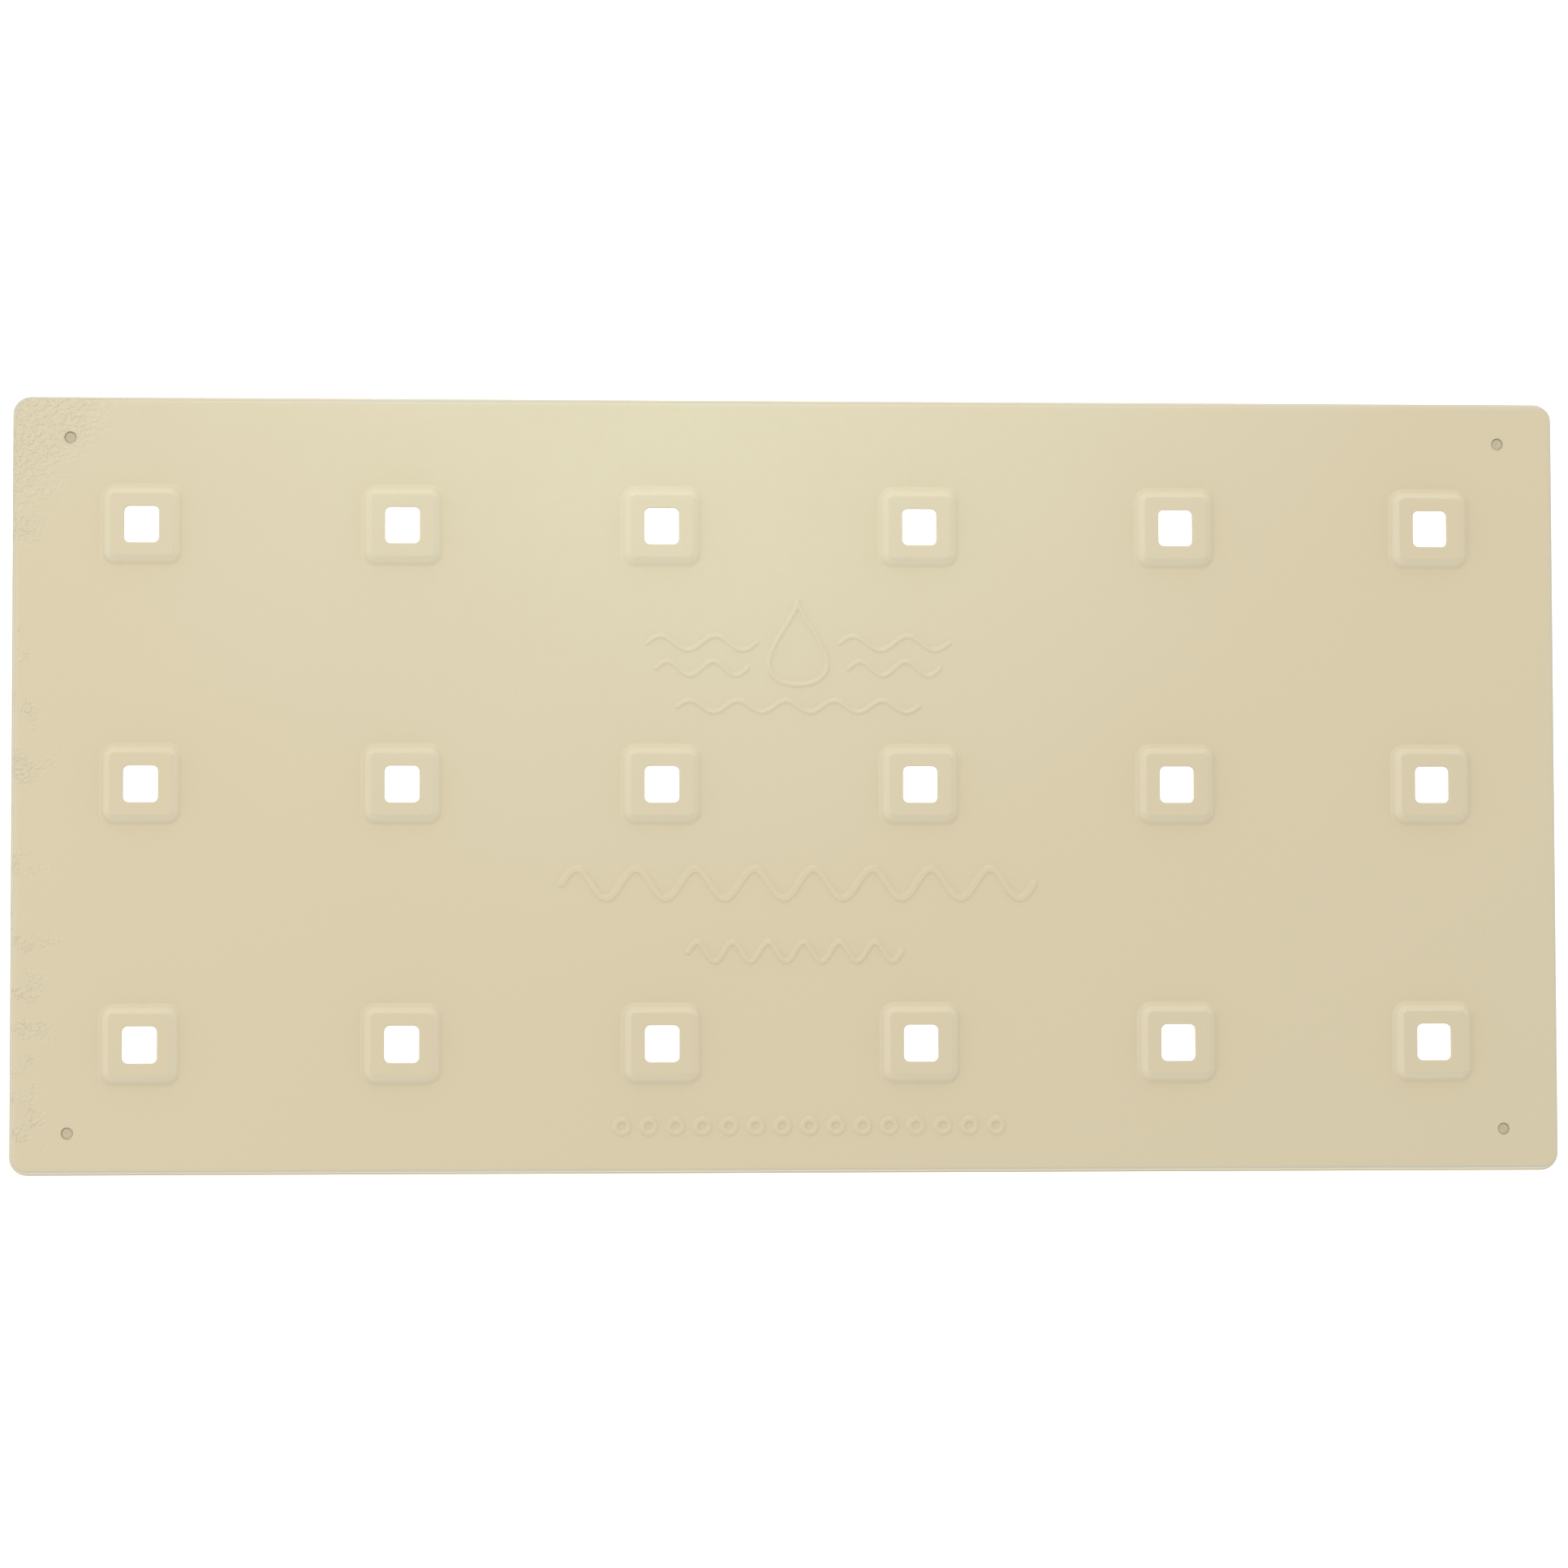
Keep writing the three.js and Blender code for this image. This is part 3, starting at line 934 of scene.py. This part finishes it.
def bumped(tree, height, strength, distance, normal=None):
    node = tree.nodes.new("ShaderNodeBump")
    node.inputs["Distance"].default_value = distance
    set_or_link(tree, node.inputs["Strength"], strength)
    tree.links.new(height, node.inputs["Height"])
    if normal is not None:
        tree.links.new(normal, node.inputs["Normal"])
    return node.outputs["Normal"]


def deeper(colour, share):
    return tuple(channel * share for channel in colour[:3]) + (1.0,)


def painted_light_fade(tree, vector):
    """How far the painted light fade has gone, from the pale lit tone at the back middle to the warmer,
    darker shaded tone at the front and right.
    """
    place = tree.nodes.new("ShaderNodeMapping")
    place.inputs["Location"].default_value = (0.144, -0.92, 0)
    place.inputs["Scale"].default_value = (1.44, 1, 0)
    tree.links.new(vector, place.inputs["Vector"])
    reach = tree.nodes.new("ShaderNodeVectorMath")
    reach.operation = "LENGTH"
    tree.links.new(place.outputs["Vector"], reach.inputs[0])
    return span(tree, reach.outputs["Value"], 0.56, 1.10)


def deck_plastic(finish):
    """Cream sheet, smooth but for a faint grain, with coarse pebbles left by the clamp at the left end. Its
    colour also holds painted light: a fade from the back middle, painted shade on the rim, painted glints on
    the pebbles and painted sheen on the collar walls.
    """
    pale = tuple(finish.deck_colour)
    # warm is the shaded end of the painted light fade, and the deep tone of the mottling.
    warm = tuple(finish.deck_shade_and_deep)
    material, tree, shader, vector = plastic("Deck sheet", pale, finish.deck_roughness)
    place = tree.nodes.new("ShaderNodeSeparateXYZ")
    tree.links.new(vector, place.inputs[0])
    # Painted light: the deck darkens from the back middle towards the front and right, as the light falls
    # off.
    light_faded_colour = blend_colour(tree, painted_light_fade(tree, vector), pale, warm)
    tone = placed(tree, moulded_tone(), vector, Deep_colour=warm, Drift=0.35, Mottle=0.10)
    tree.links.new(light_faded_colour, tone.inputs["Colour"])

    from_left = maths(tree, "ADD", place.outputs["X"], LENGTH / 2)
    from_back = maths(tree, "SUBTRACT", WIDTH / 2, place.outputs["Y"])
    ragged = maths(tree, "MULTIPLY", noise(tree, vector, 26, 3), 0.06)
    ragged_left = maths(tree, "ADD", from_left, ragged)
    strip = span(tree, ragged_left, 0.045, 0.072, 1.0, 0.0)
    clusters = span(tree, noise(tree, vector, 38, 2), 0.50, 0.62)
    corner_reach = maths(tree, "ADD", maths(tree, "MULTIPLY", from_back, 0.8), ragged_left)
    corner = span(tree, corner_reach, 0.085, 0.150, 1.0, 0.0)
    clamped = maths(tree, "MAXIMUM", maths(tree, "MULTIPLY", strip, clusters), corner)

    coarse = placed(tree, pebbled_grain(), vector, Scale=330.0, Fine=0.2)
    # Painted glints: the crowns of the coarse pebbles at the left end are made paler, as where light glances
    # off them.
    painted_glint_crowns = maths(tree, "MULTIPLY", span(tree, coarse.outputs["Height"], 0.78, 1.02), clamped)
    # Paler collar walls: stress whitening of the stretched sheet, raised with painted sheen that brightens
    # the walls.
    up_the_collar = span(tree, place.outputs["Z"], DECK + 0.0015, DECK + 0.0045)
    under_the_ledge = span(tree, place.outputs["Z"], LEDGE - 0.0006, LEDGE - 0.0001, 1.0, 0.0)
    on_the_slope = maths(tree, "MULTIPLY", up_the_collar, under_the_ledge)
    whitening_with_sheen = maths(tree, "MULTIPLY", on_the_slope, finish.stress_and_sheen)
    whitening_and_glints = maths(tree, "ADD", maths(tree, "MULTIPLY", painted_glint_crowns, 0.3), whitening_with_sheen, clamp=True)
    with_whitening_and_glints = blend_colour(tree, whitening_and_glints, tone.outputs["Colour"], tuple(finish.whitening_and_glint_colour))
    # Painted shade on the rounded rim, from just under the deck down the upper wall.
    under_the_deck = span(tree, place.outputs["Z"], DECK - 0.00060, DECK - 0.00003, 1.0, 0.0)
    over_the_wall = span(tree, place.outputs["Z"], DECK - 0.0070, DECK - 0.0030)
    rim = maths(tree, "MULTIPLY", under_the_deck, over_the_wall)
    rim_shaded = blend_colour(tree, rim, with_whitening_and_glints, tuple(finish.rim_shade_colour))
    tree.links.new(rim_shaded, shader.inputs["Base Color"])

    grain = placed(tree, pebbled_grain(), vector, Scale=520.0, Fine=0.3)
    soft = bumped(tree, noise(tree, vector, 5.0, 1), 0.5, 0.004)
    fine = bumped(tree, grain.outputs["Height"], 0.2, 0.0002, soft)
    tree.links.new(bumped(tree, coarse.outputs["Height"], clamped, 0.0008, fine), shader.inputs["Normal"])
    scuffs = placed(tree, rub_marks(), vector, Amount=0.5)
    gloss = maths(tree, "MULTIPLY", scuffs.outputs["Mask"], 0.18)
    tree.links.new(maths(tree, "ADD", gloss, finish.deck_roughness), shader.inputs["Roughness"])
    return material


def keel_plastic(finish):
    """The same sheet, a little duller, as it came off the mould."""
    material, tree, shader, vector = plastic("Keel sheet", tuple(finish.keel_colour), finish.keel_roughness)
    tone = placed(
        tree, moulded_tone(), vector, Colour=tuple(finish.keel_colour), Deep_colour=tuple(finish.keel_warm),
        Drift=1.0, Mottle=0.2,
    )
    tree.links.new(tone.outputs["Colour"], shader.inputs["Base Color"])
    grain = placed(tree, pebbled_grain(), vector, Scale=300.0, Fine=0.4)
    tree.links.new(bumped(tree, grain.outputs["Height"], 0.3, 0.0002), shader.inputs["Normal"])
    scuffs = placed(tree, rub_marks(), vector, Amount=0.7)
    gloss = maths(tree, "MULTIPLY", scuffs.outputs["Mask"], 0.18)
    tree.links.new(maths(tree, "ADD", gloss, finish.keel_roughness), shader.inputs["Roughness"])
    return material


def plug_plastic(finish):
    """A softer, duller plastic for the plugs, its colour the sheet's tone darkened with painted shade from
    the cup.
    """
    colour = tuple(finish.plug_shaded_colour)
    material, tree, shader, vector = plastic("Plug plastic", colour, 0.55)
    tone = placed(
        tree, moulded_tone(), vector, Colour=colour, Deep_colour=deeper(colour, 0.85), Drift=0.3, Mottle=0.4
    )
    tree.links.new(tone.outputs["Colour"], shader.inputs["Base Color"])
    grain = placed(tree, pebbled_grain(), vector, Scale=1500.0, Fine=0.5)
    tree.links.new(bumped(tree, grain.outputs["Height"], 0.4, 0.0001), shader.inputs["Normal"])
    return material


def floor_paper(finish, studio):
    """Pale lit paper."""
    material, _, shader, _ = plastic("Floor paper", tuple(finish.floor_colour), 0.9)
    shader.inputs["Base Color"].default_value = tuple(finish.floor_colour)
    shader.inputs["Specular IOR Level"].default_value = 0.0
    shader.inputs["Emission Color"].default_value = (1, 1, 1, 1)
    shader.inputs["Emission Strength"].default_value = studio.floor_glow
    return material


# Studio


def studio_world(studio):
    """Soft white light from all round, stronger near the horizon."""
    world = bpy.data.worlds.new("studio")
    world.use_nodes = True
    tree = world.node_tree
    direction = tree.nodes.new("ShaderNodeTexCoord").outputs["Generated"]
    parts = tree.nodes.new("ShaderNodeSeparateXYZ")
    tree.links.new(direction, parts.inputs[0])
    lowness = maths(tree, "SUBTRACT", 1.0, parts.outputs["Z"], clamp=True)
    gain = maths(tree, "MULTIPLY", maths(tree, "POWER", lowness, studio.horizon_fall), studio.horizon)
    background = tree.nodes["Background"]
    background.inputs["Color"].default_value = (1, 1, 1, 1)
    tree.links.new(maths(tree, "ADD", gain, studio.sky), background.inputs["Strength"])
    return world


def area_light(name, place, size, power):
    """A rectangular light that points at the middle of the board."""
    light = bpy.data.lights.new(name, "AREA")
    light.shape = "RECTANGLE"
    light.size, light.size_y = size
    light.energy = power
    lamp = bpy.data.objects.new(name, light)
    lamp.location = place
    lamp.rotation_euler = (-Vector(place)).to_track_quat("-Z", "Y").to_euler()
    bpy.context.scene.collection.objects.link(lamp)
    return lamp


class RAFT_OT_studio(bpy.types.Operator):
    """Lays the pale floor, hangs the soft lights and sets the camera above the board"""

    bl_idname = "raft.studio"
    bl_label = "Studio"

    def execute(self, context):
        scene = context.scene
        studio = scene.raft_studio
        camera_data = bpy.data.cameras.new("camera")
        camera_data.lens = studio.lens
        camera_data.sensor_width = 36
        camera = bpy.data.objects.new("camera", camera_data)
        camera.location = (-studio.camera_left, -studio.camera_front, studio.camera_height)
        camera.rotation_euler = (studio.camera_pitch, studio.camera_roll, studio.camera_spin)
        scene.collection.objects.link(camera)
        scene.camera = camera

        bm = bmesh.new()
        bmesh.ops.create_circle(bm, cap_ends=True, segments=studio.floor_steps, radius=studio.floor_radius)
        bmesh.ops.translate(bm, verts=bm.verts[:], vec=(0, 0, CAD_BOX[0].z - 0.0002))
        mesh = bpy.data.meshes.new("floor")
        bm.to_mesh(mesh)
        bm.free()
        mesh.materials.append(floor_paper(scene.raft_finish, studio))
        floor = bpy.data.objects.new("floor", mesh)
        scene.collection.objects.link(floor)

        scene.world = studio_world(studio)
        scene.view_settings.view_transform = "Standard"
        area_light("back_light", (0, 2.25, 2.68), (1.6, 0.6), studio.back_power)
        area_light("left_light", (-2.25, 0, 2.68), (1.6, 0.6), studio.left_power)
        return {"FINISHED"}


class RAFT_PT_panel(bpy.types.Panel):
    """Lists the steps that build the raft board"""

    bl_label = "Raft board"
    bl_idname = "RAFT_PT_panel"
    bl_space_type = "VIEW_3D"
    bl_region_type = "UI"
    bl_category = "Raft board"

    def draw(self, context):
        for step in STEPS:
            self.layout.operator(step.bl_idname)
        for name in GROUPS:
            group = getattr(context.scene, name)
            box = self.layout.box()
            for label in group.__annotations__:
                box.prop(group, label)


STEPS = (RAFT_OT_studio, RAFT_OT_upper_skin, RAFT_OT_lower_skin, RAFT_OT_port_plugs)
GROUPS = {
    "raft_sheet": RaftSheetSizes,
    "raft_site": RaftSiteSizes,
    "raft_bead": RaftBeadSizes,
    "raft_port": RaftPortSizes,
    "raft_relief": RaftReliefSizes,
    "raft_finish": RaftFinish,
    "raft_studio": RaftStudio,
}


def register():
    for cls in (*GROUPS.values(), *STEPS, RAFT_PT_panel):
        bpy.utils.register_class(cls)
    for name, group in GROUPS.items():
        setattr(bpy.types.Scene, name, PointerProperty(type=group))


def unregister():
    for name in GROUPS:
        delattr(bpy.types.Scene, name)
    for cls in (RAFT_PT_panel, *reversed(STEPS), *reversed(GROUPS.values())):
        bpy.utils.unregister_class(cls)


def main():
    register()
    bpy.ops.raft.studio()
    bpy.ops.raft.upper_skin()
    bpy.ops.raft.lower_skin()
    bpy.ops.raft.port_plugs()


if __name__ == "__main__":
    main()
